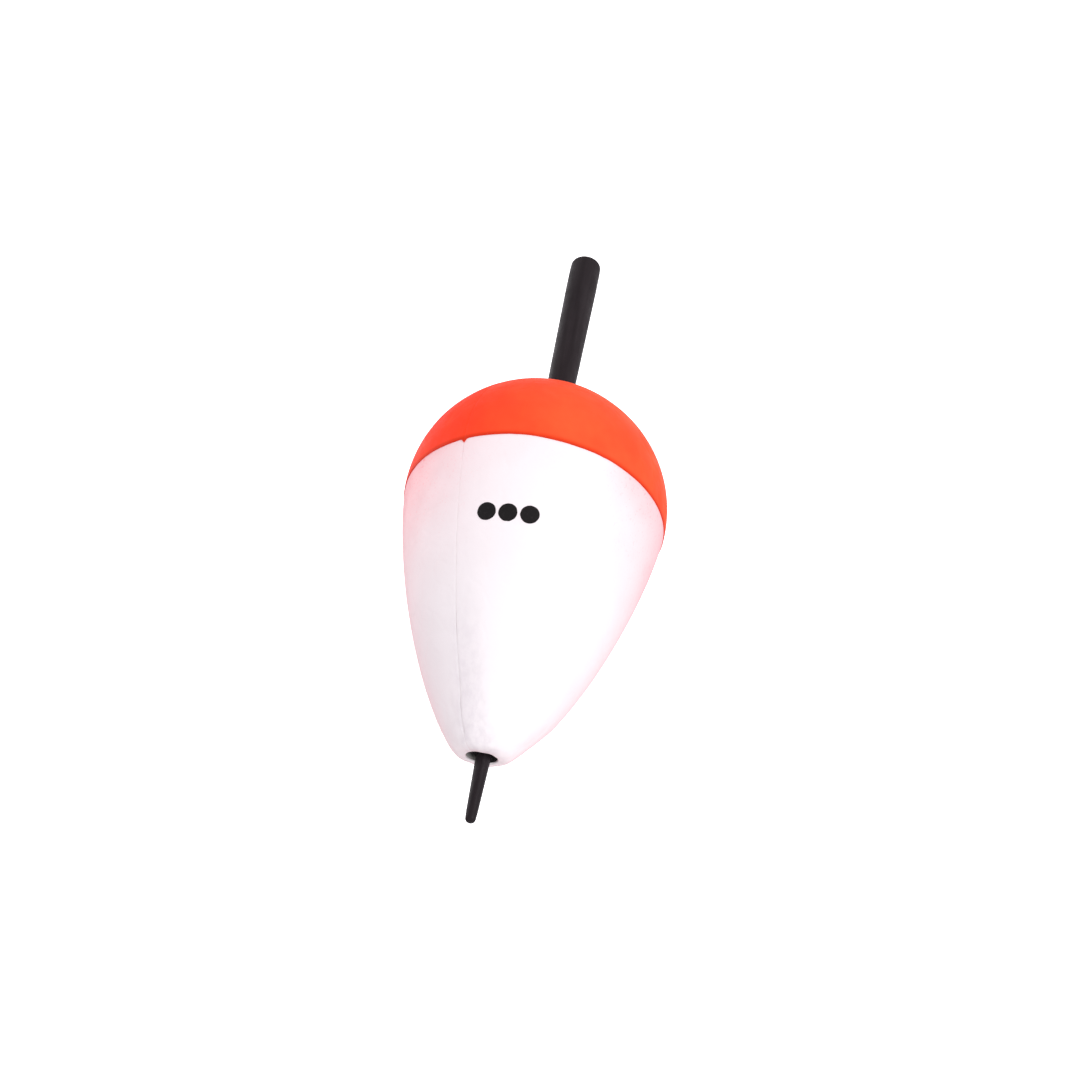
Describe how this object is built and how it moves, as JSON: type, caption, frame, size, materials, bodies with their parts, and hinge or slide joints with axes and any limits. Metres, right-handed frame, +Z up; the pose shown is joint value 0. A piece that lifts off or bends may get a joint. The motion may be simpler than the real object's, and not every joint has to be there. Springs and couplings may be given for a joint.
{
  "type": "bobber float",
  "caption": "Slotted fishing float: a painted foam pear with an orange head, a slit into its bore, and a tapered black plastic peg that pinches the line.",
  "frame": {"origin": "on the float's axis, in the plane of the body's lower end, where the line comes out", "axes": "+Z up the axis, from the thin tip of the peg to its head; the slit faces azimuth 233 degrees from +X towards +Y, so -X-Y"},
  "size_m": [0.0302, 0.0302, 0.0797],
  "materials": {
    "foam": "closed-cell foam, cut and moulded",
    "white_paint": "sprayed white paint, satin",
    "orange_paint": "fluorescent orange dip paint, satin",
    "black_ink": "pad-printed ink, matt",
    "black_plastic": "moulded, matt"
  },
  "bodies": {
    "pear": {"foam_core": "foam", "white_coat": "white_paint", "orange_coat": "orange_paint", "printed_mark": "black_ink"},
    "peg": {"peg": "black_plastic"}
  },
  "joints": [
    {"name": "peg_slide", "type": "slide", "parent": "pear", "child": "peg", "axis": [0, 0, 1], "range_m": [0, 0.06]}
  ]
}
